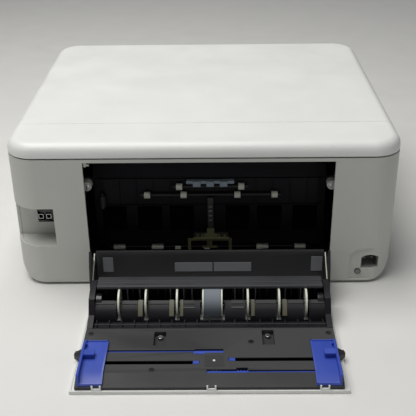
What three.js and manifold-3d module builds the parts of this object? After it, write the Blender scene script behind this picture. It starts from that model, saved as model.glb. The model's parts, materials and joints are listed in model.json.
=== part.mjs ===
// Inkjet printer seen from its rear, with the fold-down rear paper feeder open and lying on the table.
// Millimetres, +Z up. While the pieces are built, X is to the right as seen from behind, Y runs from the
// rear face (Y = 0) towards the front, and Z is up from the table. The exported group shifts Y so that
// the origin is under the middle of the whole object.
import * as THREE from 'three';
import { mergeVertices } from 'three/addons/utils/BufferGeometryUtils.js';
import Module from 'manifold-3d';

const wasm = await Module();
wasm.setup();

// ---- driving dimensions -------------------------------------------------------------------------
const BODY_WIDTH = 390;
const BODY_DEPTH = 348;
const BODY_HEIGHT = 158;
const WALL = 3;
const GAP = 0.3;
const PLAN_RADIUS = 29;
const BOTTOM_RADIUS = 24;
const CASING_BOTTOM = 3;
const CASING_TOP = 142.4;
const COVER_BOTTOM = 143.9;
const COVER_FILLET = 10;
const COVER_SKIN = 2.5;
const SLOT_COVER_DEPTH = 57;
const BASE_TOP = 5.6;

// The rear opening, and the feeder that fills it when it is folded up.
const OPENING_CENTRE = 5.3;
const OPENING_HALF = 123.2;
const OPENING_TOP = 139.2;
const FEEDER_REACH = 172;
const PIVOT_Y = -38;
const PIVOT_Z = 4;
const COVER_HALF = 120.5;
const UNIT_HALF = 116;
const CLIP_CENTRES = [-97, 2, 99];
const PLATE_TOP = 10;
const PLATE_SKIN = 1.3;
const TRAY_INNER = -92;
const TRAY_OUTER = -170;
const CREASE_Y = -156;

// Pickup shaft, its six discs and its rubber roller.
const PICKUP_Y = -60;
const PICKUP_Z = 17.8;
const PICKUP_RADIUS = 14;
const DISC_WIDTH = 1.8;
const DISC_CENTRES = [-82, -56, -26, 42, 72, 98];
const ROLLER_FROM = 0;
const ROLLER_TO = 16;

// Paper guides, their racks and the pinion between the racks.
const PINION_X = 9.5;
const PINION_Y = -140;
const PINION_RADIUS = 11.4;
const RACK_OFFSET = 12.2;
const RACK_WIDTH = 4;
const RACK_BOTTOM = 5.6;
const RACK_TOP = 8.4;

const ORIGIN_SHIFT = (BODY_DEPTH - FEEDER_REACH) / 2;

// ---- materials ----------------------------------------------------------------------------------
const finish = (color, roughness, metalness = 0) => ({ color, roughness, metalness });
const OFF_WHITE = finish(0xe4e6e2, 0.42);
const CASING_GREY = finish(0xc9cbc5, 0.5);
const CHARCOAL = finish(0x464848, 0.55);
const BLACK = finish(0x1e1f22, 0.5);
const NIGHT = finish(0x15161c, 0.55);
const BLUE = finish(0x3c5ad2, 0.4);
const BAR_GREY = finish(0x7d7e80, 0.5);
const PAD_GREY = finish(0x767c7c, 0.9);
const OLIVE = finish(0x6e6946, 0.55);
const IVORY = finish(0xdfe4cf, 0.45);
const RUBBER_GREY = finish(0x6e7680, 0.8);
const STEEL = finish(0xb9bcc0, 0.3, 1);
const DARK_RUBBER = finish(0x2a2a2a, 0.9);
const BOARD_GREEN = finish(0x1f5a36, 0.5);
const INK_BLACK = finish(0x1a1a1a, 0.4);
const INK_COLOUR = finish(0x8a3f7c, 0.4);
const BELT = finish(0x242424, 0.85);

// ---- shape helpers ------------------------------------------------------------------------------
const printer = new THREE.Group();
printer.position.y = -ORIGIN_SHIFT;

// A closed three.js geometry as a solid that can be joined and cut.
function solid(geometry) {
  let plain = geometry.clone();
  plain.deleteAttribute('normal');
  plain.deleteAttribute('uv');
  plain = mergeVertices(plain, 1e-4);
  return new wasm.Manifold(new wasm.Mesh({
    numProp: 3,
    vertProperties: new Float32Array(plain.attributes.position.array),
    triVerts: new Uint32Array(plain.index.array),
  }));
}

function add(name, shape, look) {
  const result = shape.getMesh();
  const geometry = new THREE.BufferGeometry();
  geometry.setAttribute('position', new THREE.BufferAttribute(result.vertProperties, 3));
  geometry.setIndex(new THREE.BufferAttribute(result.triVerts, 1));
  geometry.computeVertexNormals();
  const mesh = new THREE.Mesh(geometry, new THREE.MeshStandardMaterial(look));
  mesh.name = name;
  printer.add(mesh);
}

function box(x0, x1, y0, y1, z0, z1) {
  const geometry = new THREE.BoxGeometry(x1 - x0, y1 - y0, z1 - z0);
  geometry.translate((x0 + x1) / 2, (y0 + y1) / 2, (z0 + z1) / 2);
  return solid(geometry);
}

// Box given across the feeder, from its middle outwards.
function unitBox(x0, x1, y0, y1, z0, z1) {
  return box(OPENING_CENTRE + x0, OPENING_CENTRE + x1, y0, y1, z0, z1);
}

// Outline [[y, z], ...] swept along X.
function prismX(outline, x0, x1) {
  const geometry = extrude(polygon(outline), x1 - x0);
  geometry.applyMatrix4(new THREE.Matrix4().makeBasis(
    new THREE.Vector3(0, 1, 0), new THREE.Vector3(0, 0, 1), new THREE.Vector3(1, 0, 0)));
  geometry.translate(x0, 0, 0);
  return solid(geometry);
}

// Shape in X and Z swept along Y.
function prismY(shape, y0, y1, curveSegments = 6) {
  const geometry = extrude(shape, y1 - y0, curveSegments);
  geometry.applyMatrix4(new THREE.Matrix4().makeBasis(
    new THREE.Vector3(1, 0, 0), new THREE.Vector3(0, 0, 1), new THREE.Vector3(0, -1, 0)));
  geometry.translate(0, y1, 0);
  return solid(geometry);
}

// Shape in X and Y swept up Z.
function prismZ(shape, z0, z1, curveSegments = 6) {
  const geometry = extrude(shape, z1 - z0, curveSegments);
  geometry.translate(0, 0, z0);
  return solid(geometry);
}

function extrude(shape, depth, curveSegments = 6) {
  return new THREE.ExtrudeGeometry(shape, { depth, bevelEnabled: false, curveSegments });
}

function polygon(points) {
  return new THREE.Shape(points.map(([a, b]) => new THREE.Vector2(a, b)));
}

function roundedRect(a0, a1, b0, b1, r) {
  const shape = new THREE.Shape();
  shape.moveTo(a0 + r, b0);
  shape.lineTo(a1 - r, b0);
  shape.absarc(a1 - r, b0 + r, r, -Math.PI / 2, 0, false);
  shape.lineTo(a1, b1 - r);
  shape.absarc(a1 - r, b1 - r, r, 0, Math.PI / 2, false);
  shape.lineTo(a0 + r, b1);
  shape.absarc(a0 + r, b1 - r, r, Math.PI / 2, Math.PI, false);
  shape.lineTo(a0, b0 + r);
  shape.absarc(a0 + r, b0 + r, r, Math.PI, 1.5 * Math.PI, false);
  return shape;
}

function cylinderX(x0, x1, y, z, r, sides = 20) {
  const geometry = new THREE.CylinderGeometry(r, r, x1 - x0, sides);
  geometry.rotateZ(Math.PI / 2);
  geometry.translate((x0 + x1) / 2, y, z);
  return solid(geometry);
}

function cylinderY(x, y0, y1, z, r, sides = 20) {
  const geometry = new THREE.CylinderGeometry(r, r, y1 - y0, sides);
  geometry.translate(x, (y0 + y1) / 2, z);
  return solid(geometry);
}

function cylinderZ(x, y, z0, z1, r, sides = 20) {
  const geometry = new THREE.CylinderGeometry(r, r, z1 - z0, sides);
  geometry.rotateX(Math.PI / 2);
  geometry.translate(x, y, (z0 + z1) / 2);
  return solid(geometry);
}

function union(shapes) {
  return shapes.reduce((whole, next) => whole.add(next));
}

function cut(shape, tools) {
  return tools.reduce((rest, tool) => rest.subtract(tool), shape);
}

// ---- casing -------------------------------------------------------------------------------------
const HALF_WIDTH = BODY_WIDTH / 2;
const OPENING_LEFT = OPENING_CENTRE - OPENING_HALF;
const OPENING_RIGHT = OPENING_CENTRE + OPENING_HALF;

// The body's outer form, shrunk by `inset` on the sides and raised by `inset` at the bottom.
function bodyForm(inset, z0, z1) {
  const plan = roundedRect(-HALF_WIDTH + inset, HALF_WIDTH - inset, inset, BODY_DEPTH - inset,
    PLAN_RADIUS - inset);
  const front = roundedRect(-HALF_WIDTH + inset, HALF_WIDTH - inset, CASING_BOTTOM + inset,
    2 * BODY_HEIGHT, BOTTOM_RADIUS - inset);
  return prismZ(plan, z0, z1, 8).intersect(prismY(front, 0, BODY_DEPTH, 6));
}

const PORT_X0 = -151;
const PORT_Z0 = 46;
const PORT_Z1 = 89;
const PORT_DEPTH = 27;
const portSpace = box(-HALF_WIDTH - 5, PORT_X0, -1, PORT_DEPTH, PORT_Z0, PORT_Z1);

// Arch-topped outline of the mains inlet's recessed panel and of its mouth.
function arch(x0, x1, z0, z1) {
  const radius = (x1 - x0) / 2;
  const shape = new THREE.Shape();
  shape.moveTo(x0, z0);
  shape.lineTo(x1, z0);
  shape.lineTo(x1, z1 - radius * 0.35);
  shape.quadraticCurveTo((x0 + x1) / 2, z1 + radius * 0.35, x0, z1 - radius * 0.35);
  return shape;
}

const INLET_X0 = 161.5;
const INLET_X1 = 179.5;
const INLET_Z0 = 17;
const INLET_Z1 = 33;
const FRONT_DOOR_HALF = 135;
const FRONT_DOOR_Z0 = 24;
const FRONT_DOOR_Z1 = 92;
const BUTTON_X = -168;
const BUTTON_Z = 112;
const BUTTON_RADIUS = 6;

function mainCasing() {
  const shell = bodyForm(0, 0, CASING_TOP).subtract(bodyForm(WALL, 0, BODY_HEIGHT));
  const baseWindow = box(-165, 165, 8, BODY_DEPTH - 8, 0, 8);
  const rearOpening = box(OPENING_LEFT, OPENING_RIGHT, -1, 9, 0, OPENING_TOP);
  const inletPanel = prismY(arch(149, 187, 5, 42), -1, 1.7);
  const inletMouth = prismY(arch(INLET_X0, INLET_X1, INLET_Z0, INLET_Z1), -1, 8);
  const frontOpening = box(-FRONT_DOOR_HALF - 1, FRONT_DOOR_HALF + 1, BODY_DEPTH - 7, BODY_DEPTH + 1,
    FRONT_DOOR_Z0 - 2, FRONT_DOOR_Z1 + 1);
  const buttonHole = cylinderY(BUTTON_X, BODY_DEPTH - 5, BODY_DEPTH + 1, BUTTON_Z,
    BUTTON_RADIUS + 0.5, 24);
  return cut(shell, [baseWindow, rearOpening, inletPanel, inletMouth, frontOpening, buttonHole,
    portSpace]);
}
add('main_casing', mainCasing(), CASING_GREY);

function basePlate() {
  const plate = prismZ(roundedRect(-164.5, 164.5, 8.5, BODY_DEPTH - 8.5, 4), CASING_BOTTOM, BASE_TOP, 3);
  const ribs = [-142, 142].map((x) => box(x - 1.5, x + 1.5, 20, 320, BASE_TOP - 0.1, 11));
  return plate.add(union(ribs));
}
add('base_plate', basePlate(), BLACK);

const FOOT_X = 145;
const FEET = [['rear_left', -FOOT_X, 26], ['rear_right', FOOT_X, 26],
  ['front_left', -FOOT_X, BODY_DEPTH - 26], ['front_right', FOOT_X, BODY_DEPTH - 26]];
for (const [place, x, y] of FEET) {
  add(`foot_${place}`, cylinderZ(x, y, 0, CASING_BOTTOM - GAP, 9), DARK_RUBBER);
}

// The recess in the rear left corner for the data sockets, and the socket block at its back.
function portRecess() {
  const liner = box(-HALF_WIDTH, PORT_X0 + 2.5, WALL + GAP, PORT_DEPTH + 2.5, PORT_Z0 - 2.5,
    PORT_Z1 + 2.5);
  return liner.subtract(portSpace).intersect(bodyForm(WALL + GAP, 0, BODY_HEIGHT));
}
add('port_recess', portRecess(), CASING_GREY);

function portBlock() {
  const block = box(-171, -153, 16, PORT_DEPTH - GAP, 66, 80);
  const sockets = [-167.5, -159.5].map((x) => box(x - 3, x + 3, 15, 23, 69, 77));
  return cut(block, sockets);
}
add('port_block', portBlock(), BLACK);

function powerInlet() {
  const shell = box(INLET_X0 - 3, INLET_X1 + 3, WALL + GAP, 24, INLET_Z0 - 3, INLET_Z1 + 3);
  const mouth = prismY(arch(INLET_X0 + 1, INLET_X1 - 1, INLET_Z0 + 1, INLET_Z1 - 1), 0, 20);
  const pins = [-4, 4].map((dx) => cylinderY((INLET_X0 + INLET_X1) / 2 + dx, 12, 20.5, 23.5, 1.2, 10));
  return shell.subtract(mouth).add(union(pins)).intersect(bodyForm(WALL + GAP, 0, BODY_HEIGHT));
}
add('power_inlet', powerInlet(), BLACK);

// ---- covers on top ------------------------------------------------------------------------------
// One rounded slab, hollow below, cut into the short paper slot cover and the long top cover.
function topSlab(inset, top) {
  const shape = roundedRect(-HALF_WIDTH + inset, HALF_WIDTH - inset, inset, BODY_DEPTH - inset,
    PLAN_RADIUS - inset);
  const fillet = COVER_FILLET - inset;
  const geometry = new THREE.ExtrudeGeometry(shape, {
    depth: 40, curveSegments: 8, bevelSegments: 4, bevelSize: fillet, bevelThickness: fillet,
    bevelOffset: -fillet,
  });
  geometry.translate(0, 0, top - 40 - fillet);
  return solid(geometry);
}

function coverShell(y0, y1) {
  const region = box(-HALF_WIDTH - 1, HALF_WIDTH + 1, y0, y1, COVER_BOTTOM, BODY_HEIGHT + 1);
  const hollow = topSlab(COVER_SKIN, BODY_HEIGHT - COVER_SKIN).intersect(
    box(-HALF_WIDTH, HALF_WIDTH, y0 === 0 ? 0 : y0 + COVER_SKIN,
      y1 === BODY_DEPTH ? BODY_DEPTH : y1 - COVER_SKIN, 100, BODY_HEIGHT));
  return topSlab(0, BODY_HEIGHT).intersect(region).subtract(hollow);
}
add('paper_slot_cover', coverShell(0, SLOT_COVER_DEPTH), OFF_WHITE);
add('top_cover', coverShell(SLOT_COVER_DEPTH + 0.6, BODY_DEPTH), OFF_WHITE);

// ---- front: output door, its extension and the power button --------------------------------------
const DOOR_Y0 = BODY_DEPTH - 5;
const EXTENSION_HALF = 41.5;
function outputDoor() {
  const panel = box(-FRONT_DOOR_HALF, FRONT_DOOR_HALF, DOOR_Y0, BODY_DEPTH - 0.5, FRONT_DOOR_Z0,
    FRONT_DOOR_Z1);
  const channel = box(-EXTENSION_HALF - 0.5, EXTENSION_HALF + 0.5, DOOR_Y0 - 1, DOOR_Y0 + 1.8,
    FRONT_DOOR_Z0 + 12, FRONT_DOOR_Z1 + 1);
  return panel.subtract(channel);
}
add('output_door', outputDoor(), CASING_GREY);
add('output_extension', box(-EXTENSION_HALF, EXTENSION_HALF, DOOR_Y0 - 0.6, DOOR_Y0 + 1.4,
  FRONT_DOOR_Z0 + 12.5, FRONT_DOOR_Z1 - 1), CASING_GREY);
add('power_button', cylinderY(BUTTON_X, BODY_DEPTH - 4.5, BODY_DEPTH - 0.2, BUTTON_Z, BUTTON_RADIUS, 24),
  CASING_GREY);

// ---- rear feeder: slide frame --------------------------------------------------------------------
const PLATE_INNER_X = 117.3;
const PLATE_OUTER_X = 119.8;

// Side plate with the tall pointed fin, the pivot eye and a tail that runs inside the slide rail.
function sidePlate(side) {
  const outline = [[-40.7, 4], [-40, 2.2], [-38, 1.3], [-36, 2.2], [-35.2, 4], [-34.8, 6.3], [28, 6.3],
    [28, 15], [-1, 16], [-3, 34], [-14, 38], [-24, 54], [-31, 40], [-38.6, 13]];
  const x0 = side < 0 ? -PLATE_OUTER_X : PLATE_INNER_X;
  const x1 = side < 0 ? -PLATE_INNER_X : PLATE_OUTER_X;
  const plate = prismX(outline, OPENING_CENTRE + x0, OPENING_CENTRE + x1);
  return plate.subtract(cylinderX(OPENING_CENTRE + x0 - 1, OPENING_CENTRE + x1 + 1, PIVOT_Y, PIVOT_Z,
    1.85, 16));
}
add('side_plate_left', sidePlate(-1), BLACK);
add('side_plate_right', sidePlate(1), BLACK);
add('hinge_rod', cylinderX(OPENING_CENTRE - 120.4, OPENING_CENTRE + 120.4, PIVOT_Y, PIVOT_Z, 1.5, 16),
  STEEL);

// Leaning wall that the sheets' leading edges meet, with shallow seats for its four friction pads.
const WALL_FACE = [[-4, 6.4], [0, 43]];
function wallPoint(z, out) {
  const [[y0, z0], [y1, z1]] = WALL_FACE;
  return y0 + (y1 - y0) * (z - z0) / (z1 - z0) - out;
}
function wallSlab(x0, x1, z0, z1, out0, out1) {
  return prismX([[wallPoint(z0, out0), z0], [wallPoint(z0, out1), z0], [wallPoint(z1, out1), z1],
    [wallPoint(z1, out0), z1]], x0, x1);
}
const PADS = [['left', -105, -94.5, 17, 33], ['centre_left', -31, 8, 17, 27],
  ['centre_right', 9.2, 48, 17, 27], ['right', 109.5, 121, 17, 33]];
function separatorWall() {
  const wall = wallSlab(OPENING_CENTRE - 117, OPENING_CENTRE + 117, 6.4, 39.4, 0, -2.6);
  const brace = unitBox(-117, 117, -3, 7, 6.4, 8.6);
  const seats = PADS.map(([, x0, x1, z0, z1]) => wallSlab(x0 - GAP, x1 + GAP, z0 - GAP, z1 + GAP, 1, -0.8));
  return cut(wall.add(brace), seats);
}
add('separator_wall', separatorWall(), CHARCOAL);
for (const [place, x0, x1, z0, z1] of PADS) {
  add(`friction_pad_${place}`, wallSlab(x0, x1, z0, z1, 0.5, -0.5), PAD_GREY);
}

// ---- rear feeder: folding unit --------------------------------------------------------------------
function rearCover() {
  const plate = unitBox(-COVER_HALF, COVER_HALF, -FEEDER_REACH, PIVOT_Y + 0.4, 0, 2.2);
  const lip = unitBox(-COVER_HALF, COVER_HALF, -FEEDER_REACH, -48, 2.1, 3).subtract(
    unitBox(-COVER_HALF + 1.6, COVER_HALF - 1.6, -FEEDER_REACH + 1.4, -40, 1, 4));
  const cornerCuts = [[-125, -109.8], [109.8, 125]].map(([x0, x1]) => unitBox(x0, x1, -46, -30, -1, 5));
  const clips = CLIP_CENTRES.flatMap((x) => [unitBox(x - 3.5, x + 3.5, -171.4, -170.5, 2.4, 5),
    unitBox(x - 4.2, x - 2.8, -171.5, -170.4, 2, 8), unitBox(x + 2.8, x + 4.2, -171.5, -170.4, 2, 8)]);
  return union([cut(plate.add(lip), cornerCuts), ...clips]);
}
add('rear_cover', rearCover(), OFF_WHITE);

const RACK_SLOT_HALF = 1.5;
const BLOCK_SLOT_HALF = 2.4;
const LEFT_WINDOW_X = -4;
const RIGHT_WINDOW_X = 34;
const LEFT_RACK_Y = PINION_Y + RACK_OFFSET + RACK_WIDTH / 2;
const RIGHT_RACK_Y = PINION_Y - RACK_OFFSET - RACK_WIDTH / 2;
const LEFT_BLOCK_Y = -142;
const RIGHT_BLOCK_Y = -138;
const LEFT_BLOCK_X = -6.5;
const RIGHT_BLOCK_X = 25.5;

const LATCH_Y = -126.5;
const POCKETS = [[-46, -35, -118, -97], [54, 65, -117, -95]];
const trayScrewPlaces = [[-40.5, -101.5], [59.5, -99.5]];

function trayPlate() {
  const outline = [[TRAY_INNER, 3.3], [TRAY_INNER, PLATE_TOP], [CREASE_Y, PLATE_TOP], [TRAY_OUTER, 5.4],
    [TRAY_OUTER, 3.3]];
  const hollow = [[TRAY_INNER - 2.4, 3], [TRAY_INNER - 2.4, PLATE_TOP - PLATE_SKIN],
    [CREASE_Y - 0.6, PLATE_TOP - PLATE_SKIN], [CREASE_Y - 3, 7.6], [CREASE_Y - 3, 3]];
  const left = OPENING_CENTRE - UNIT_HALF;
  const right = OPENING_CENTRE + UNIT_HALF;
  const shell = prismX(outline, left, right).subtract(prismX(hollow, left + 2.4, right - 2.4));
  const bosses = union(POCKETS.map(([x0, x1, y0, y1]) => box(x0 - 1.5, x1 + 1.5, y0 - 1.5, y1 + 1.5,
    3.4, PLATE_TOP - PLATE_SKIN + 0.1)));
  const pockets = POCKETS.map(([x0, x1, y0, y1]) => box(x0, x1, y0, y1, 5, PLATE_TOP + 1));
  const slots = [[left + 8, PINION_X + 8, LEFT_RACK_Y, RACK_SLOT_HALF],
    [left + 8, LEFT_BLOCK_X + 3, LEFT_BLOCK_Y, BLOCK_SLOT_HALF],
    [RIGHT_BLOCK_X - 3, right - 8, RIGHT_BLOCK_Y, BLOCK_SLOT_HALF],
    [PINION_X - 6, right - 8, RIGHT_RACK_Y, RACK_SLOT_HALF],
    [LEFT_WINDOW_X - 4, PINION_X + 8.5, LEFT_RACK_Y, 2.5],
    [PINION_X - 6.5, RIGHT_WINDOW_X + 4, RIGHT_RACK_Y + 0.3, 2.3]].map(
    ([x0, x1, y, half]) => box(x0, x1, y - half, y + half, 7, PLATE_TOP + 1));
  const windows = [[LEFT_WINDOW_X, LEFT_RACK_Y - 3], [RIGHT_WINDOW_X, RIGHT_RACK_Y + 3]].map(
    ([x, y]) => box(x - 5, x + 5, y - 1.8, y + 1.8, 7.1, PLATE_TOP + 1.1));
  const latchNotches = [-1, 1].map((side) => {
    const x0 = side < 0 ? left - 1 : right - 5;
    return box(x0, x0 + 6, LATCH_Y - 7.6, LATCH_Y + 7.6, 3, PLATE_TOP + 1);
  });
  const pinionStub = cylinderZ(PINION_X, PINION_Y, RACK_BOTTOM, PLATE_TOP - PLATE_SKIN + 0.1, 2, 12);
  return cut(cut(shell.add(bosses), pockets), [...slots, ...windows, ...latchNotches]).add(pinionStub);
}
add('tray_plate', trayPlate(), CHARCOAL);
trayScrewPlaces.forEach(([x, y], index) => {
  add(`tray_screw_${index === 0 ? 'left' : 'right'}`, cylinderZ(x, y, 5 + GAP, 7.6, 2.6, 16), STEEL);
});

// Spring catches in the tray's two sides.
for (const side of [-1, 1]) {
  const outline = [[115.6, -7], [122.2, -2.4], [122.2, 1], [115.6, 7], [113.6, 7], [113.6, -7]].map(
    ([x, y]) => [OPENING_CENTRE + side * x, LATCH_Y + y]);
  const shape = polygon(side < 0 ? outline.reverse() : outline);
  add(`side_catch_${side < 0 ? 'left' : 'right'}`, prismZ(shape, 3.6, 8.6), BLACK);
}

// Housing of the pickup roller: sloping cover over the shaft, slotted for the discs, ribs, end cheeks.
const HOUSING_INNER = -41;
function rollerHousing() {
  const left = OPENING_CENTRE - UNIT_HALF;
  const right = OPENING_CENTRE + UNIT_HALF;
  const ramp = prismX([[-91.6, 3.4], [-91.6, 9.4], [-89.6, 9.4], [-89, 6.4], [-77, 6.4], [-75.4, 12.4],
    [-71, 18.2], [-64.4, 22.2], [-63.8, 20.8], [-69.8, 17], [-73.8, 11.8], [-75, 7.6], [-76, 4.4],
    [-89.6, 4.4], [-89.6, 3.4]], left, right);
  const floor = box(left + 0.4, right - 0.4, -76.8, HOUSING_INNER - 1, 4.7, 5.7);
  const ribCount = 19;
  const ribStep = 12;
  const frontRibs = Array.from({ length: ribCount }, (_, i) => OPENING_CENTRE
    + (i - (ribCount - 1) / 2) * ribStep).map((x) => box(x - 0.7, x + 0.7, -90.2, -75.5, 6, 9));
  const backWall = box(left, right, HOUSING_INNER - 2, HOUSING_INNER, 3.4, 31.4);
  const cheeks = [[left, left + 5.6], [right - 5.6, right]].map(([x0, x1]) => prismX([[-91.6, 3.4],
    [HOUSING_INNER, 3.4], [HOUSING_INNER, 31.4], [-54, 31.4], [-68, 27], [-76, 14], [-91.6, 10]], x0, x1));
  const ribXs = [-96, -70, -64, -45, -38, -18, -12, 28, 34, 54, 61, 85, 92, 108];
  const backRibs = ribXs.map((x) => prismX([[HOUSING_INNER - 1, 4.4], [HOUSING_INNER - 1, 31],
    [-50, 31], [-52.2, 15.8], [-51.6, 4.6]], x - 0.8, x + 0.8));
  const body = union([ramp, floor, backWall, ...frontRibs, ...cheeks, ...backRibs]);
  const discSlots = DISC_CENTRES.map((x) => box(x - 2.4, x + 2.4, -76.5, -43.6, 3, 32));
  const rollerSlot = box(ROLLER_FROM - 3.8, ROLLER_TO + 3.8, -76.5, -43.6, 3, 32);
  const bearing = cylinderX(left - 1, right + 1, PICKUP_Y, PICKUP_Z, 2.5, 16);
  const knuckles = [[left, left + 5.6], [right - 5.6, right]].map(([x0, x1]) => {
    const arm = box(x0 + 0.1, x1 - 0.1, -44, PIVOT_Y, 3.7, PIVOT_Z + 2.4);
    const eye = cylinderX(x0 + 0.2, x1 - 0.2, PIVOT_Y, PIVOT_Z, 2.9, 20);
    return arm.add(eye).subtract(cylinderX(x0 - 1, x1 + 1, PIVOT_Y, PIVOT_Z, 1.85, 16));
  });
  return cut(body, [...discSlots, rollerSlot, bearing]).add(union(knuckles));
}
add('roller_housing', rollerHousing(), NIGHT);

// Two-ridged guide bar above the roller housing.
add('guide_bar', prismX([[-58, 31.7], [-41, 31.7], [-41, 35], [-48, 35], [-49, 33.8], [-51, 33.8],
  [-52, 35], [-57, 35], [-58, 34]], OPENING_CENTRE - 109, OPENING_CENTRE + 109), BAR_GREY);

// ---- pickup shaft ---------------------------------------------------------------------------------
function pickupShaft() {
  const shaft = cylinderX(OPENING_CENTRE - 114, OPENING_CENTRE + 114, PICKUP_Y, PICKUP_Z, 2.2, 16);
  const discs = DISC_CENTRES.map((x) => cylinderX(x - DISC_WIDTH / 2, x + DISC_WIDTH / 2, PICKUP_Y,
    PICKUP_Z, PICKUP_RADIUS, 32));
  const flanges = [[ROLLER_FROM - 1.7, ROLLER_FROM - GAP], [ROLLER_TO + GAP, ROLLER_TO + 1.7]].map(
    ([x0, x1]) => cylinderX(x0, x1, PICKUP_Y, PICKUP_Z, PICKUP_RADIUS - 0.4, 32));
  const flat = box(OPENING_CENTRE + 112, OPENING_CENTRE + 116, PICKUP_Y - 4, PICKUP_Y + 4,
    PICKUP_Z + 1.6, PICKUP_Z + 4);
  return union([shaft, ...discs, ...flanges]).subtract(flat);
}
add('pickup_shaft', pickupShaft(), IVORY);
add('pickup_roller', cylinderX(ROLLER_FROM, ROLLER_TO, PICKUP_Y, PICKUP_Z, PICKUP_RADIUS, 36).subtract(
  cylinderX(ROLLER_FROM - 1, ROLLER_TO + 1, PICKUP_Y, PICKUP_Z, 2.5, 16)), RUBBER_GREY);

// ---- paper guides ---------------------------------------------------------------------------------
// side -1 is the left guide with the inner rack, +1 the right guide with the outer rack.
function paperGuide(side) {
  const edge = OPENING_CENTRE + side * 114;
  const inner = OPENING_CENTRE + side * 92;
  const span = (a, b, y0, y1, z0, z1) => box(Math.min(a, b), Math.max(a, b), y0, y1, z0, z1);
  const flangeY0 = -169;
  const flangeY1 = -113;
  const foot = PLATE_TOP + GAP;
  const drop = 4.2;
  const flange = prismX([[flangeY0, foot - drop], [CREASE_Y, foot], [flangeY1, foot],
    [flangeY1, foot + 1.5], [CREASE_Y, foot + 1.5], [flangeY0, foot + 1.5 - drop]],
  Math.min(edge, inner), Math.max(edge, inner));
  const wall = prismX([[flangeY0 + 0.2, foot - drop + 0.4], [CREASE_Y, foot + 0.4],
    [flangeY1 - 0.2, foot + 0.4], [flangeY1 - 0.2, 13.6], [-124, 17.6], [flangeY0 + 1, 17.6],
    [flangeY0 + 0.2, 16.6]], Math.min(edge - side * 0.1, edge - side * 2.2),
  Math.max(edge - side * 0.1, edge - side * 2.2));
  const tab = span(edge - side * 1, edge - side * 12, -139, -131.5, 15, 16.8);
  const rackY = side < 0 ? LEFT_RACK_Y : RIGHT_RACK_Y;
  const blockX = side < 0 ? RIGHT_BLOCK_X : LEFT_BLOCK_X;
  const blockY = side < 0 ? RIGHT_BLOCK_Y : LEFT_BLOCK_Y;
  const neck = span(inner + side, inner + side * 10, rackY - 1.1, rackY + 1.1, RACK_TOP - 0.5,
    PLATE_TOP + 1);
  const rack = span(edge - side * 12, blockX - side * 3, rackY - RACK_WIDTH / 2, rackY + RACK_WIDTH / 2,
    RACK_BOTTOM, RACK_TOP);
  const finger = box(blockX - 3, blockX + 3, Math.min(rackY, blockY) - 1.9, Math.max(rackY, blockY) + 1.9,
    RACK_BOTTOM + 0.2, RACK_TOP - 0.2);
  const block = box(blockX - 2.6, blockX + 2.6, blockY - 2, blockY + 2, RACK_TOP - 0.6,
    PLATE_TOP + 0.05);
  return union([flange, wall, tab, neck, rack, finger, block]);
}
add('paper_guide_left', paperGuide(-1), BLUE);
add('paper_guide_right', paperGuide(1), BLUE);

function pinion() {
  const teeth = 18;
  const points = [];
  for (let i = 0; i < teeth * 4; i += 1) {
    const angle = (i / (teeth * 4)) * 2 * Math.PI;
    const radius = i % 4 < 2 ? PINION_RADIUS : PINION_RADIUS - 1.6;
    points.push([PINION_X + radius * Math.cos(angle), PINION_Y + radius * Math.sin(angle)]);
  }
  return prismZ(polygon(points), RACK_BOTTOM, RACK_TOP).subtract(
    cylinderZ(PINION_X, PINION_Y, RACK_BOTTOM - 1, RACK_TOP + 1, 2.3, 12));
}
add('guide_pinion', pinion(), IVORY);

// ---- mechanism seen through the rear opening -------------------------------------------------------
function rearInnerWall() {
  const wall = prismX([[50.4, 19], [53, 19], [53, 98], [62, 120], [62, 139], [59.6, 139], [59.6, 121],
    [50.4, 99]], OPENING_LEFT + 1, OPENING_RIGHT - 1);
  const windows = [-97, -59, -25, 35, 69, 107].map((x) => box(x - 13, x + 13, 48, 56, 36, 66));
  return cut(wall, windows);
}
add('rear_inner_wall', rearInnerWall(), NIGHT);

// Two idler shafts with small rollers, in front of the wall.
function idlerShaft(xs, y, z, reach) {
  const shaft = cylinderX(xs[0] - reach, xs[xs.length - 1] + reach, y, z, 1.2, 10);
  const rollers = xs.map((x) => cylinderX(x - 3.2, x + 3.2, y, z, 3.6, 16));
  return union([shaft, ...rollers]);
}
add('upper_idler_shaft', idlerShaft([-26.5, 38.5], 46.3, 90.5, 7), BAR_GREY);
add('lower_idler_shaft', idlerShaft([-60.5, -22, 34.5, 73.5], 46.3, 81, 7), BAR_GREY);
add('bridge_bracket', union([box(-19, 31, 44, 50, 94.6, 98), box(-12, -4, 42, 46, 92, 98),
  box(2, 10, 42, 46, 92, 98), box(16, 24, 42, 46, 92, 98)]), BAR_GREY);
add('guide_column', union([box(3, 9, 46.5, 50, 30, 77), box(-12, 25, 45, 50, 28, 34)]), OLIVE);
function transferShaft() {
  const shaft = cylinderX(-105, 114, 55, 13, 1.6, 10);
  const sleeves = [[-101, -88], [-59, -46], [56, 69], [98, 110]].map(([x0, x1]) => cylinderX(x0, x1, 55,
    13, 3.4, 16));
  return union([shaft, ...sleeves]);
}
add('transfer_shaft', transferShaft(), OFF_WHITE);
for (const side of [-1, 1]) {
  const x = OPENING_CENTRE + side * 122.6;
  const boss = cylinderY(x, 12, 20, 108, 5, 20).subtract(cylinderY(x, 11, 14, 108, 3.2, 16));
  const post = box(side < 0 ? x - 6 : x + 1.4, side < 0 ? x - 1.4 : x + 6, 3.4, 19.6, 105, 111);
  add(`screw_boss_${side < 0 ? 'left' : 'right'}`, boss.add(post), CASING_GREY);
  const railX = side < 0 ? OPENING_CENTRE - 123 : OPENING_CENTRE + PLATE_OUTER_X + 0.5;
  add(`slide_rail_${side < 0 ? 'left' : 'right'}`, box(railX, railX + 2.7, 8, 100, 6.2, 17), BLACK);
}

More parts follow.
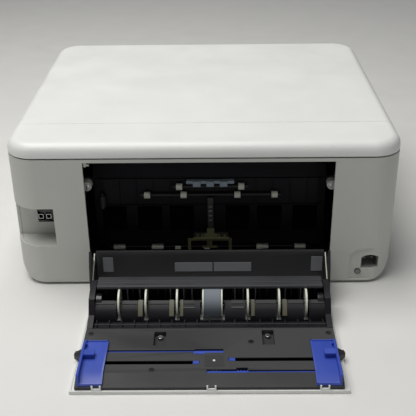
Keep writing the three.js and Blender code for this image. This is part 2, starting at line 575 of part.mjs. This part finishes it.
// ---- print mechanism -------------------------------------------------------------------------------
const FRAME_X = 152;
const FEED_Y = 130;
const FEED_Z = 60;
const EXIT_Y = 250;
const EXIT_Z = 58;
const RAIL_Y = 170;
const BELT_Z = 104;

function sideFrame(side) {
  const x0 = side < 0 ? -FRAME_X - 2 : FRAME_X;
  const plate = box(x0, x0 + 2, 70, 300, 6, 118);
  const lightening = box(x0 - 1, x0 + 3, 170, 230, 20, 60);
  const shaftHoles = [[FEED_Y, FEED_Z], [EXIT_Y, EXIT_Z]].map(([y, z]) => cylinderX(x0 - 1, x0 + 3, y, z,
    3.3, 16));
  return cut(plate, [lightening, ...shaftHoles]);
}
add('side_frame_left', sideFrame(-1), STEEL);
add('side_frame_right', sideFrame(1), STEEL);

add('carriage_rail', prismX([[RAIL_Y, 92], [RAIL_Y + 26, 92], [RAIL_Y + 26, 96], [RAIL_Y + 2.4, 96],
  [RAIL_Y + 2.4, 112], [RAIL_Y, 112]], -FRAME_X + GAP, FRAME_X - GAP), STEEL);

// Carriage, parked at the right, with its two ink cartridges.
const CARRIAGE_X0 = 76;
const CARRIAGE_X1 = 140;
function carriage() {
  const body = box(CARRIAGE_X0, CARRIAGE_X1, 198, 244, 66, 112);
  const hook = box(CARRIAGE_X0 + 4, CARRIAGE_X1 - 4, 175, 199, 96.4, 106);
  const bays = [box(CARRIAGE_X0 + 3, CARRIAGE_X0 + 23, 201, 241, 70, 113),
    box(CARRIAGE_X0 + 26, CARRIAGE_X1 - 3, 201, 241, 70, 113)];
  return cut(body.add(hook), bays);
}
add('carriage', carriage(), BLACK);
function cartridge(x0, x1) {
  const tank = box(x0, x1, 201.4, 240.6, 70.4, 114);
  return tank.add(box(x0 + 2, x1 - 2, 236, 243, 114 - 0.1, 117));
}
add('ink_cartridge_black', cartridge(CARRIAGE_X0 + 3.4, CARRIAGE_X0 + 22.6), INK_BLACK);
add('ink_cartridge_colour', cartridge(CARRIAGE_X0 + 26.4, CARRIAGE_X1 - 3.4), INK_COLOUR);

function driveBelt() {
  const outer = prismY(roundedRect(-142, 142, BELT_Z - 6, BELT_Z + 6, 5.8), 160, 166, 8);
  const inner = prismY(roundedRect(-140.8, 140.8, BELT_Z - 4.8, BELT_Z + 4.8, 4.6), 159, 167, 8);
  return outer.subtract(inner);
}
add('drive_belt', driveBelt(), BELT);
add('carriage_motor', union([cylinderY(136, 132, 158, BELT_Z, 13, 20),
  cylinderY(136, 157.9, 166.5, BELT_Z, 4.4, 16)]), STEEL);

// Feed and exit rollers across the side frames, and the platen between them.
function rollerAcross(y, z, radius, half) {
  return union([cylinderX(-158, 158, y, z, 3, 16), cylinderX(-half, half, y, z, radius, 20)]);
}
add('feed_roller', rollerAcross(FEED_Y, FEED_Z, 8, 120), RUBBER_GREY);
function exitRoller() {
  const wheels = [-110, -66, -22, 22, 66, 110].map((x) => cylinderX(x - 6, x + 6, EXIT_Y, EXIT_Z, 6, 16));
  return union([cylinderX(-158, 158, EXIT_Y, EXIT_Z, 3, 16), ...wheels]);
}
add('exit_roller', exitRoller(), DARK_RUBBER);
function platen() {
  const table = box(-148, 72, 144, 238, 50, 54);
  const ribs = [-120, -90, -60, -30, 0, 30, 60].map((x) => box(x - 1, x + 1, 146, 236, 53.9, 57));
  return union([table, ...ribs]);
}
add('platen', platen(), BLACK);
function maintenanceStation() {
  const tub = box(78, 138, 202, 238, 40, 63);
  return cut(tub, [box(81, 99, 205, 235, 58, 64), box(102, 135, 205, 235, 58, 64)]);
}
add('maintenance_station', maintenanceStation(), BAR_GREY);

function mainBoard() {
  const board = box(-164, -162.4, 80, 230, 22, 104);
  const chips = [[100, 125, 40, 60], [150, 168, 70, 88], [190, 215, 34, 50]].map(([y0, y1, z0, z1]) => box(
    -162.5, -159, y0, y1, z0, z1));
  return union([board, ...chips]);
}
add('main_board', mainBoard(), BOARD_GREEN);
add('power_supply', box(158, 184, 32, 142, 24, 74), BLACK);

export default printer;
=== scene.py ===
"""Inkjet printer seen from behind, with its rear feeder folded out. Metres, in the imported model's frame."""
import json
import math

import bmesh
import bpy
from mathutils import Matrix, Vector


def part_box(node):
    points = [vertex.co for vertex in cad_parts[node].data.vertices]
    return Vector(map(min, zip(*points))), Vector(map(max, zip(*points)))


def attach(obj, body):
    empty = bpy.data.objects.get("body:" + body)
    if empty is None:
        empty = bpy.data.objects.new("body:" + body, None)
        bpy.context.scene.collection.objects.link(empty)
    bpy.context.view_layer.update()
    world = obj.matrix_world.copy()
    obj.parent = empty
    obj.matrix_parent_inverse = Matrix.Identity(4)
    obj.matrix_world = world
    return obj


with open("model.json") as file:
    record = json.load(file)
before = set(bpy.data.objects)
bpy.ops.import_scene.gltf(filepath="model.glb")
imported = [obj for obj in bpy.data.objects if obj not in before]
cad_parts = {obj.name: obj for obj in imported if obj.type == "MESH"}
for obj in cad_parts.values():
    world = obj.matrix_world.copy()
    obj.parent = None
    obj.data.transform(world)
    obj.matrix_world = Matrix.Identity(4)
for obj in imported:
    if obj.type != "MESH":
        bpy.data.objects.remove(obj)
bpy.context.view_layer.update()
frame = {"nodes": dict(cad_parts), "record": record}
NODES = frame["nodes"]
MM = 0.001

# ---- places taken from the frame -----------------------------------------------------------------
# Added pieces are in millimetres: X from the frame's middle, Y inwards from the casing's rear face, Z up.
REAR_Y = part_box("main_casing")[0].y
COVER_LOW, COVER_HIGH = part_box("rear_cover")
MIDDLE = (COVER_LOW.x + COVER_HIGH.x) / 2 / MM
TRAY_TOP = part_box("tray_plate")[1].z / MM
UNIT_HALF = (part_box("tray_plate")[1].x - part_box("tray_plate")[0].x) / 2 / MM


# ---- camera and studio ---------------------------------------------------------------------------
def make_camera():
    """Looks down at the rear face, turned and rolled by less than a degree."""
    yaw, pitch, roll = math.radians(-0.73), math.radians(27.73), math.radians(0.71)
    forward = Vector((math.sin(yaw) * math.cos(pitch), math.cos(yaw) * math.cos(pitch), -math.sin(pitch)))
    level_right = Vector((math.cos(yaw), -math.sin(yaw), 0))
    level_down = forward.cross(level_right)
    right = math.cos(roll) * level_right + math.sin(roll) * level_down
    down = forward.cross(right)
    data = bpy.data.cameras.new("camera")
    data.sensor_width = 36
    data.lens = 68.29
    data.clip_start = 0.05
    camera = bpy.data.objects.new("camera", data)
    bpy.context.scene.collection.objects.link(camera)
    place = Vector((0.0129, REAR_Y - 0.696, 0.4553))
    rows = Matrix((right, -down, -forward)).transposed()
    camera.matrix_world = Matrix.Translation(place) @ rows.to_4x4()
    bpy.context.scene.camera = camera


def area_light(name, place, target, size, energy, colour=(1, 1, 1)):
    data = bpy.data.lights.new(name, "AREA")
    data.shape = "RECTANGLE"
    data.size, data.size_y = size
    data.energy = energy
    data.color = colour
    light = bpy.data.objects.new(name, data)
    bpy.context.scene.collection.objects.link(light)
    light.location = place
    light.rotation_euler = (Vector(target) - Vector(place)).to_track_quat("-Z", "Y").to_euler()


def make_studio():
    """Pale floor that curves up behind the object, a broad top light and a faint fill."""
    bpy.context.scene.view_settings.view_transform = "Standard"
    world = bpy.data.worlds.new("studio")
    bpy.context.scene.world = world
    world.use_nodes = True
    background = world.node_tree.nodes["Background"]
    background.inputs["Color"].default_value = (0.93, 0.95, 1.0, 1)
    background.inputs["Strength"].default_value = 0.15
    area_light("top_light", (-0.35, -0.05, 1.4), (0, -0.05, 0), (1.3, 1.0), 20, (1, 0.985, 0.96))
    area_light("front_fill", (0.2, -1.4, 0.7), (0, -0.1, 0.05), (1.2, 0.8), 0.35)

    mesh = bpy.data.meshes.new("floor")
    builder = bmesh.new()
    half, back, rise, bend = 3.0, 2.4, 1.8, 0.8
    steps = 12
    gap_below = 0.0002
    angles = [i / steps * math.pi / 2 for i in range(steps + 1)]
    profile = [(-half, 0)] + [(back + bend * math.sin(a), bend - bend * math.cos(a)) for a in angles]
    profile.append((back + bend, rise))
    rows = [[builder.verts.new((x, y, z - gap_below)) for y, z in profile] for x in (-half, half)]
    for i in range(len(profile) - 1):
        builder.faces.new((rows[0][i], rows[1][i], rows[1][i + 1], rows[0][i + 1]))
    builder.to_mesh(mesh)
    for polygon in mesh.polygons:
        polygon.use_smooth = True
    floor = bpy.data.objects.new("floor", mesh)
    bpy.context.scene.collection.objects.link(floor)
    mesh.materials.append(moulded("floor_paper", (0.78, 0.78, 0.755), 0.65, grain=2.5, bump=0.05,
                                  mottle=0.01))


# ---- materials -----------------------------------------------------------------------------------
def moulded(name, colour, roughness, grain=0.35, bump=0.12, mottle=0.04, wear=0.0, metallic=0.0,
            spread=0.08, shine=0.5, stretch=None):
    """Moulded plastic, rubber or metal. grain is the surface texture's size in mm, mottle the change in
    colour, spread the change in roughness, wear how far edges lighten."""
    material = bpy.data.materials.new(name)
    material.use_nodes = True
    tree = material.node_tree
    nodes, links = tree.nodes, tree.links
    shader = nodes["Principled BSDF"]
    shader.inputs["Metallic"].default_value = metallic
    shader.inputs["Specular IOR Level"].default_value = shine
    coords = nodes.new("ShaderNodeTexCoord")
    source = coords.outputs["Object"]
    if stretch:
        mapping = nodes.new("ShaderNodeMapping")
        mapping.inputs["Scale"].default_value = stretch
        links.new(source, mapping.inputs["Vector"])
        source = mapping.outputs["Vector"]

    fine = nodes.new("ShaderNodeTexNoise")
    fine.inputs["Scale"].default_value = 1000 / grain / 4
    fine.inputs["Detail"].default_value = 3
    links.new(source, fine.inputs["Vector"])
    bumper = nodes.new("ShaderNodeBump")
    bumper.inputs["Strength"].default_value = bump
    bumper.inputs["Distance"].default_value = grain * MM * 0.5
    links.new(fine.outputs["Fac"], bumper.inputs["Height"])
    links.new(bumper.outputs["Normal"], shader.inputs["Normal"])

    broad = nodes.new("ShaderNodeTexNoise")
    broad.inputs["Scale"].default_value = 22
    broad.inputs["Detail"].default_value = 6
    links.new(coords.outputs["Object"], broad.inputs["Vector"])
    rough = nodes.new("ShaderNodeMapRange")
    rough.inputs["From Min"].default_value = 0.3
    rough.inputs["From Max"].default_value = 0.7
    rough.inputs["To Min"].default_value = roughness - spread
    rough.inputs["To Max"].default_value = roughness + spread
    links.new(broad.outputs["Fac"], rough.inputs["Value"])
    links.new(rough.outputs["Result"], shader.inputs["Roughness"])

    ramp = nodes.new("ShaderNodeValToRGB")
    ramp.color_ramp.elements[0].position = 0.3
    ramp.color_ramp.elements[1].position = 0.7
    ramp.color_ramp.elements[0].color = (*[c * (1 - mottle) for c in colour], 1)
    ramp.color_ramp.elements[1].color = (*[min(1, c * (1 + mottle)) for c in colour], 1)
    links.new(broad.outputs["Fac"], ramp.inputs["Fac"])
    result = ramp.outputs["Color"]
    if wear:
        geometry = nodes.new("ShaderNodeNewGeometry")
        edge = nodes.new("ShaderNodeMapRange")
        edge.inputs["From Min"].default_value = 0.53
        edge.inputs["From Max"].default_value = 0.62
        edge.inputs["To Max"].default_value = wear
        links.new(geometry.outputs["Pointiness"], edge.inputs["Value"])
        lighten = nodes.new("ShaderNodeMix")
        lighten.data_type = "RGBA"
        lighten.inputs["B"].default_value = (*[min(1, c * 1.6 + 0.05) for c in colour], 1)
        links.new(edge.outputs["Result"], lighten.inputs["Factor"])
        links.new(result, lighten.inputs["A"])
        result = lighten.outputs["Result"]
    links.new(result, shader.inputs["Base Color"])
    return material


def core_tint(material, centre, radius, colour):
    """Gives everything nearer than radius to an axis along X another colour, as a shaft in its rollers."""
    nodes, links = material.node_tree.nodes, material.node_tree.links
    target = nodes["Principled BSDF"].inputs["Base Color"]
    outer = target.links[0].from_socket
    coords = nodes.new("ShaderNodeTexCoord")
    split = nodes.new("ShaderNodeSeparateXYZ")
    links.new(coords.outputs["Object"], split.inputs["Vector"])
    joined = nodes.new("ShaderNodeCombineXYZ")
    links.new(split.outputs["Y"], joined.inputs["Y"])
    links.new(split.outputs["Z"], joined.inputs["Z"])
    distance = nodes.new("ShaderNodeVectorMath")
    distance.operation = "DISTANCE"
    distance.inputs[1].default_value = (0, centre[1], centre[2])
    links.new(joined.outputs["Vector"], distance.inputs[0])
    inside = nodes.new("ShaderNodeMath")
    inside.operation = "LESS_THAN"
    inside.inputs[1].default_value = radius
    links.new(distance.outputs["Value"], inside.inputs[0])
    blend = nodes.new("ShaderNodeMix")
    blend.data_type = "RGBA"
    blend.inputs["B"].default_value = (*colour, 1)
    links.new(inside.outputs["Value"], blend.inputs["Factor"])
    links.new(outer, blend.inputs["A"])
    links.new(blend.outputs["Result"], target)


LOOKS = {
    "off_white_plastic": moulded("off_white", (0.80, 0.815, 0.79), 0.38, grain=0.5, bump=0.05, mottle=0.012),
    "casing_grey": moulded("casing_grey_look", (0.56, 0.57, 0.53), 0.5, grain=0.6, bump=0.16, mottle=0.02),
    "charcoal_plastic": moulded("charcoal", (0.034, 0.035, 0.036), 0.58, grain=0.5, bump=0.18, mottle=0.10,
                                wear=0.3, shine=0.3),
    "black_plastic": moulded("black", (0.012, 0.012, 0.014), 0.42, grain=0.5, bump=0.14, mottle=0.12,
                             wear=0.3),
    "interior_black": moulded("night", (0.008, 0.008, 0.011), 0.45, grain=0.5, bump=0.12, mottle=0.15,
                              wear=0.2,
                              shine=0.3),
    "blue_plastic": moulded("blue", (0.03, 0.07, 0.42), 0.4, grain=0.5, bump=0.08, mottle=0.05, wear=0.25),
    "bar_grey": moulded("bar_grey_look", (0.036, 0.038, 0.041), 0.5, grain=0.5, bump=0.12, mottle=0.05,
                        wear=0.2),
    "pad_rubber": moulded("pad", (0.20, 0.215, 0.225), 0.85, grain=0.3, bump=0.5, mottle=0.08),
    "olive_plastic": moulded("olive", (0.21, 0.20, 0.10), 0.42, grain=0.5, bump=0.1, mottle=0.08),
    "ivory_plastic": moulded("ivory", (0.74, 0.78, 0.63), 0.38, grain=0.4, bump=0.06, mottle=0.04),
    "roller_rubber": moulded("roller_rubber_look", (0.18, 0.205, 0.235), 0.75, grain=0.35, bump=0.5,
                             mottle=0.07,
                             stretch=(1, 0.25, 0.25)),
    "steel": moulded("steel_look", (0.6, 0.61, 0.62), 0.3, grain=0.3, bump=0.05, mottle=0.05, metallic=1.0),
    "foot_rubber": moulded("foot_rubber_look", (0.025, 0.025, 0.025), 0.8, grain=0.4, bump=0.3, mottle=0.1),
    "circuit_board": moulded("board", (0.02, 0.11, 0.04), 0.45, grain=1.2, bump=0.2, mottle=0.2),
    "ink_black": moulded("ink_black_look", (0.012, 0.012, 0.012), 0.3, grain=0.5, bump=0.06, mottle=0.1),
    "ink_colour": moulded("ink_colour_look", (0.25, 0.06, 0.20), 0.3, grain=0.5, bump=0.06, mottle=0.1),
    "belt_rubber": moulded("belt", (0.02, 0.02, 0.02), 0.8, grain=0.6, bump=0.4, mottle=0.1),
}

# Looks of single nodes and added pieces.
# A lighter copy of the dark rib plastic, used for the window ribs: painted highlight for the light their
# fronts catch in the shade under the bar.
RIB_HIGHLIGHT_GREY = moulded("rib_painted_highlight_look", (0.22, 0.225, 0.235), 0.5, grain=0.4, bump=0.08, mottle=0.08)
SCREW = moulded("screw_look", (0.20, 0.20, 0.195), 0.4, grain=0.3, bump=0.05, mottle=0.1)
SOCKET = moulded("socket_look", (0.26, 0.265, 0.25), 0.6, grain=0.8, bump=0.1, mottle=0.2)
DEEP = moulded("deep_black", (0.004, 0.004, 0.007), 0.5, grain=0.5, bump=0.12, mottle=0.2, shine=0.25)
COOL_GREY = moulded("cool_grey", (0.28, 0.34, 0.40), 0.4, grain=0.4, bump=0.08, mottle=0.08)
COLUMN = moulded("column_grey", (0.05, 0.05, 0.04), 0.5, grain=0.4, bump=0.1, mottle=0.1)
GLOSS = moulded("bearing_gloss", (0.014, 0.014, 0.016), 0.22, grain=0.4, bump=0.05, mottle=0.1, spread=0.05)
DULL_OLIVE = moulded("dull_olive", (0.10, 0.095, 0.055), 0.5, grain=0.4, bump=0.12, mottle=0.1)

OWN_LOOKS = {"rear_inner_wall": DEEP, "bridge_bracket": COOL_GREY, "guide_column": COLUMN,
             "slide_rail_left": DEEP,
             "slide_rail_right": DEEP, "power_inlet": SOCKET}


# ---- carried-over CAD nodes ----------------------------------------------------------------------
SHARP_ANGLE = math.radians(28)
CURVED_MERGE = math.radians(0.2)
FLAT_MERGE = math.radians(2.0)
WELD_DISTANCE = 1e-5

# Rounding of the edges in millimetres. A width of 0 leaves them sharp.
USUAL_EDGE = 0.25
EDGE_WIDTHS = {"main_casing": 0.5, "top_cover": 0.5, "paper_slot_cover": 0.5, "rear_cover": 0.35,
               "tray_plate": 0.35, "paper_guide_left": 0.35, "paper_guide_right": 0.35,
               "separator_wall": 0}

# Nodes with flat faces only, which are shaded face by face.
FLAT_NODES = {"separator_wall", "tray_plate", "rear_cover", "base_plate", "side_plate_left",
              "side_plate_right",
              "friction_pad_left", "friction_pad_centre_left", "friction_pad_centre_right",
              "friction_pad_right",
              "rear_inner_wall", "guide_bar", "side_frame_left", "side_frame_right", "main_board",
              "power_supply"}


def soften(thing, width, smooth=True):
    """Merges split corners and rounds the sharp edges, so moulded edges catch the light."""
    weld = thing.modifiers.new("weld", "WELD")
    weld.merge_threshold = WELD_DISTANCE
    flat = thing.modifiers.new("flat", "DECIMATE")
    flat.decimate_type = "DISSOLVE"
    flat.angle_limit = CURVED_MERGE if smooth else FLAT_MERGE
    if width:
        bevel = thing.modifiers.new("bevel", "BEVEL")
        bevel.width = width
        bevel.segments = 2
        bevel.limit_method = "ANGLE"
        bevel.angle_limit = SHARP_ANGLE
    if smooth:
        shading = thing.modifiers.new("shading", "WEIGHTED_NORMAL")
        shading.weight = 100
        shading.keep_sharp = True
    for polygon in thing.data.polygons:
        polygon.use_smooth = smooth


def dress_nodes():
    """Gives every carried-over node its look and its softened edges."""
    for entry in frame["record"]["subparts"]:
        name = entry["node"]
        node = NODES[name]
        node.data.materials.clear()
        node.data.materials.append(OWN_LOOKS.get(name, LOOKS[entry["material_slot"]]))
        soften(node, EDGE_WIDTHS.get(name, USUAL_EDGE) * MM, smooth=name not in FLAT_NODES)


def tint_shafts():
    """The idler, transfer and pickup shafts are dark, and their rollers and discs are pale."""
    dark_grey, near_black = (0.03, 0.03, 0.032), (0.012, 0.012, 0.014)
    for node, radius, colour in (("upper_idler_shaft", 2.0, dark_grey),
                                 ("lower_idler_shaft", 2.0, dark_grey),
                                 ("transfer_shaft", 2.4, near_black), ("pickup_shaft", 3.0, near_black)):
        thing = NODES[node]
        corners = [Vector(corner) for corner in thing.bound_box]
        centre = sum(corners, Vector()) / len(corners)
        look = moulded(node + "_look", (0.74, 0.78, 0.66), 0.35, grain=0.4, bump=0.06, mottle=0.04)
        core_tint(look, centre, radius * MM, colour)
        thing.data.materials[0] = look


# ---- shapes for the added pieces -----------------------------------------------------------------
def at(x, y, z):
    """Turns millimetres from the frame's middle, the rear face and the floor into metres in the frame."""
    return Vector((x * MM, REAR_Y + y * MM, z * MM))


def span(one, other):
    return min(one, other), max(one, other)


def block(builder, x0, x1, y0, y1, z0, z1):
    corners = [builder.verts.new(at(x, y, z)) for z in (z0, z1) for y in (y0, y1) for x in (x0, x1)]
    for face in ((0, 2, 3, 1), (4, 5, 7, 6), (0, 1, 5, 4), (2, 6, 7, 3), (0, 4, 6, 2), (1, 3, 7, 5)):
        builder.faces.new([corners[i] for i in face])


def sweep(builder, outline, x0, x1):
    """Outline [(y, z), ...] swept along X."""
    ends = [[builder.verts.new(at(x, y, z)) for y, z in outline] for x in (x0, x1)]
    builder.faces.new(ends[0][::-1])
    builder.faces.new(ends[1])
    count = len(outline)
    for i in range(count):
        j = (i + 1) % count
        builder.faces.new((ends[0][i], ends[0][j], ends[1][j], ends[1][i]))


def tube(builder, start, end, radius, bore=0.0, sides=28):
    """Round bar between two points, or a tube if it has a bore."""
    low, high = at(*start), at(*end)
    along = (high - low).normalized()
    side = along.orthogonal().normalized()
    other = along.cross(side)
    loops = []
    for place in (low, high):
        for r in ((radius, bore) if bore else (radius,)):
            loops.append([builder.verts.new(place + r * MM * (math.cos(a) * side + math.sin(a) * other))
                          for a in [2 * math.pi * i / sides for i in range(sides)]])
    if bore:
        order = [loops[0], loops[2], loops[3], loops[1]]
    else:
        order = [loops[0], loops[1]]
        builder.faces.new(loops[0][::-1])
        builder.faces.new(loops[1])
    rings = len(order)
    for k in range(rings if bore else 1):
        one, two = order[k], order[(k + 1) % rings]
        for i in range(sides):
            j = (i + 1) % sides
            builder.faces.new((one[i], one[j], two[j], two[i]))


def place(name, body, look, shapes, edge=0.15):
    """One added piece: shapes is a list of (function, arguments), joined in one mesh riding on a body."""
    builder = bmesh.new()
    for function, arguments in shapes:
        function(builder, *arguments)
    bmesh.ops.recalc_face_normals(builder, faces=builder.faces)
    mesh = bpy.data.meshes.new(name)
    builder.to_mesh(mesh)
    builder.free()
    thing = bpy.data.objects.new(name, mesh)
    bpy.context.scene.collection.objects.link(thing)
    mesh.materials.append(look)
    if edge:
        soften(thing, edge * MM)
    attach(thing, body)


# ---- added pieces --------------------------------------------------------------------------------
def roller_details():
    """Bearings, disc brackets, cover lip, rail and latch frames around the pickup roller."""
    grey = LOOKS["bar_grey"]
    left, right = MIDDLE - UNIT_HALF, MIDDLE + UNIT_HALF
    shaft_y, shaft_z = -59, 18.4
    bearing_radius, bearing_bore = 8, 3
    for name, x0, x1 in (("left", left + 5.8, left + 12), ("right", right - 12, right - 5.8)):
        bearing = (tube, ((x0, shaft_y, shaft_z), (x1, shaft_y, shaft_z), bearing_radius, bearing_bore))
        place("shaft_bearing_" + name, "feeder_unit", GLOSS, [bearing], 0.6)

    slope = [(-63.6, 23.2), (-70.9, 19.0), (-76.2, 12.6), (-75.5, 12.3), (-71, 18.1), (-64.3, 22.1)]
    beside_discs = ((-56, -7.4, -3), (-26, -7.4, -3), (-26, 3, 6), (42, 3, 6.4), (72, 3, 7.4))
    place("disc_brackets", "feeder_unit", DULL_OLIVE,
          [(sweep, (slope, disc + near, disc + far)) for disc, near, far in beside_discs])
    place("rib_rail", "feeder_unit", grey, [(block, (left + 6, right - 6, -84.9, -84.1, 8.9, 9.6))], 0.1)

    seam = [(-64.3, 22.9), (-67.4, 21.1), (-67.6, 20.5), (-64.5, 22.1)]
    lip_lengths = ((left + 6, -86), (-79, -64), (-53, -34), (-19, -9), (26, 38), (50, 69), (81, 95),
                   (102, right - 6))
    place("cover_lip", "feeder_unit", LOOKS["charcoal_plastic"],
          [(sweep, (seam, *ends)) for ends in lip_lengths], 0.1)
    latch = [(-70.2, 19.3), (-71.2, 18.6), (-71.3, 18.0), (-70.3, 18.7)]
    place("latch_frames", "feeder_unit", grey, [(sweep, (latch, *ends)) for ends in ((-22, -9),
                                                                                     (26, 38))], 0.05)


def tray_details():
    """A black sheet of painted shade under the rack windows, window ribs lightened with painted highlight,
    screw wells and the pinion's cover and cap on the folded-out tray.
    """
    # The black sheet under the rack windows is painted shade: it stands where the windows show only shadow
    # and hides the pale cover below.
    place("painted_shade_sheet", "feeder_unit", LOOKS["black_plastic"],
          [(block, (MIDDLE - 104, MIDDLE + 104, -158, -110, 3.6, 4.3))], 0.1)
    # The window ribs carry painted highlight: their grey is lighter than the dark rib plastic, so they show
    # as lit lines in the shade under the bar.
    rib_places = (-75, -63, -33, -20, -12, 30, 38, 50, 79, 94)
    place("window_ribs", "feeder_unit", RIB_HIGHLIGHT_GREY,
          [(block, (x - 0.5, x + 0.5, -52.6, -51.5, 6, 30.8)) for x in rib_places], 0.1)

    top = TRAY_TOP
    wells = [(MIDDLE - 110.5, -99.7), (MIDDLE + 110.5, -99.7), (-45, -152), (43.4, -112.5)]
    place("screw_wells", "feeder_unit", LOOKS["black_plastic"],
          [(tube, ((x, y, top - 0.1), (x, y, top + 0.25), 2.9, 1.9)) for x, y in wells], 0.1)
    place("screw_well_floors", "feeder_unit", GLOSS,
          [(tube, ((x, y, top - 0.2), (x, y, top + 0.06), 1.8)) for x, y in wells], 0)
    pinion_x, pinion_y = 9.5, -140
    place("pinion_cap", "feeder_unit", LOOKS["off_white_plastic"],
          [(tube, ((pinion_x, pinion_y, top - 0.1), (pinion_x, pinion_y, top + 0.6), 1.2))], 0.1)
    place("pinion_cover", "feeder_unit", LOOKS["charcoal_plastic"],
          [(block, (1.2, 17.8, -147.6, -132.4, top + 0.02, top + 0.28))], 0.1)


def guide_details():
    """Rims, braces and rack teeth of the two paper guides, and the ribs of the side catches."""
    blue = LOOKS["blue_plastic"]
    base = TRAY_TOP + 1.8
    rim_height, rim_drop, crease_y, end_y = 0.7, 4.1, -156, -168.8
    tooth_pitch, tooth_width, tooth_count = 2.8, 1.1, 4
    for side, name, rack_y, tooth_x in ((-1, "left", -125.8, -8.2), (1, "right", -154.2, 29.8)):
        body = "guide_" + name
        inner = MIDDLE + side * 92
        across = span(MIDDLE + side * 111.6, inner)
        rim = span(inner, inner + side * 1.3)
        slope = [(crease_y, base), (crease_y, base + rim_height), (end_y, base + rim_height - rim_drop),
                 (end_y, base - rim_drop)]
        end = [(-167.4, base - 3.7), (-167.4, base - 2.9), (end_y, base - 3.4), (end_y, base - rim_drop)]
        place("guide_rim_" + name, body, blue,
              [(block, (*across, -114.4, -113.1, base, base + rim_height)),
               (block, (*rim, crease_y, -113.1, base, base + rim_height)),
               (sweep, (slope, *rim)), (sweep, (end, *across))], 0.12)

        wall = MIDDLE + side * 111.8
        post, tab = span(wall, wall - side * 1.2), span(wall, wall - side * 9.6)
        place("guide_braces_" + name, body, blue,
              [(block, (*post, -121.5, -119, base, 14.6)), (block, (*tab, -138.6, -138, 12.6, 15.1)),
               (block, (*tab, -132.5, -131.9, 12.6, 15.1))], 0.12)

        inward = side * 2.0
        tooth_y = span(rack_y + inward, rack_y + inward * 1.7)
        starts = [tooth_x + tooth_pitch * i for i in range(tooth_count)]
        place("rack_teeth_" + name, body, blue, [(block, (x, x + tooth_width, *tooth_y, 6,
                                                          8.3)) for x in starts], 0.1)

        catch = MIDDLE + side * 116
        catch_x = span(catch, catch + side * 5.4)
        place("catch_ribs_" + name, "catch_" + name, LOOKS["black_plastic"],
              [(block, (*catch_x, y - 0.35, y + 0.35, 8.4, 9.0)) for y in (-128.6, -126.5, -124.4)], 0.1)


def interior_details():
    """Brackets, ribs and a roller on the wall inside the opening."""
    pale, olive = LOOKS["ivory_plastic"], LOOKS["olive_plastic"]
    wall_y = 50.3
    place("lower_bracket", "chassis", olive,
          [(block, (x0, x1, 49.3, wall_y, z0, z1)) for x0, x1, z0, z1 in
           ((-19, 29, 23.2, 26), (-19, -15.6, 11.4, 23.4), (25.6, 29, 11.4, 23.4), (-3.4, 13, 14, 17),
            (1.6, 7.6, 17, 23.4))])
    place("bracket_clips", "chassis", pale,
          [(block, (x - 3, x + 3, 49.4, 50.2, 12.6, 16.4)) for x in (-30, 1.8, 59)])

    foot = [(block, (-13, 26, 43.6, 44.9, 28, 30.4)), (block, (-1, 13, 44.1, 44.9, 30.4, 35)),
            (block, (2, 10, 44.6, 45.4, 34.8, 41))]
    prongs = [(block, (*ends, 44.1, 44.9, 30.4, 34)) for ends in ((-9, -7), (-4, -2), (14, 16), (20, 22))]
    place("column_foot", "chassis", olive, foot + prongs)
    place("column_segments", "chassis", COOL_GREY,
          [(block, (4.2, 7.8, 45.7, 46.4, z, z + 0.9)) for z in (50, 55.5, 61, 66)])

    upright = [(block, (x - 0.5, x + 0.5, 49.0, wall_y, 68.5, 98))
               for x in (-108, -90, -72, -54, -36, 54, 72, 90, 108, 120)]
    level = [(block, (MIDDLE - 118, MIDDLE + 118, y, wall_y, z0, z1))
             for y, z0, z1 in ((48.6, 66.8, 68), (48.8, 34, 35.2), (48.4, 97.6, 98.8))]
    place("wall_ribs", "chassis", DEEP, upright + level, 0.2)

    roller_x, roller_y = -108, 46
    place("edge_roller", "chassis", LOOKS["bar_grey"],
          [(tube, ((roller_x, roller_y, z0), (roller_x, roller_y, z1), radius))
           for z0, z1, radius in ((67, 81, 3.1), (64.5, 83.5, 1.3))], 0.5)
    place("cover_hook", "chassis", pale,
          [(block, (-117.6, -114.8, 4, 9, 133, 138)), (block, (-116.4, -112.4, 6, 8, 133, 135))], 0.3)


def side_details():
    """Screws of the two bosses, and the pale strips beside the fins."""
    boss_z = 108
    strip = [(-8, 42.4), (-8, 40.6), (-32, 23.2), (-33, 24.6)]
    for side, name in ((-1, "left"), (1, "right")):
        x = MIDDLE + side * 122.6
        place("boss_screw_" + name, "chassis", LOOKS["steel"],
              [(tube, ((x, 12.4, boss_z), (x, 14, boss_z), 2.9))], 0.5)
        inner = MIDDLE + side * 116.6
        place("link_strip_" + name, "feeder_slide", LOOKS["ivory_plastic"],
              [(sweep, (strip, *span(inner, inner + side)))], 0.15)


def casing_details():
    """Screw beside the mains inlet, and the shells of the two data sockets."""
    x, z = 158.6, 13.6
    place("inlet_screw_ring", "chassis", LOOKS["black_plastic"],
          [(tube, ((x, 0.6, z), (x, 1.5, z), 3.3, 2.6))], 0.1)
    place("inlet_screw", "chassis", SCREW, [(tube, ((x, 0.3, z), (x, 1.0, z), 2.6))], 0.3)
    socket_z = 73
    place("socket_shells", "chassis", LOOKS["steel"],
          [(tube, ((x, 15.2, socket_z), (x, 15.9, socket_z), 3.6, 2.9, 4)) for x in (-167.5, -159.5)], 0.1)


make_camera()
make_studio()
dress_nodes()
tint_shafts()
roller_details()
tray_details()
guide_details()
interior_details()
side_details()
casing_details()
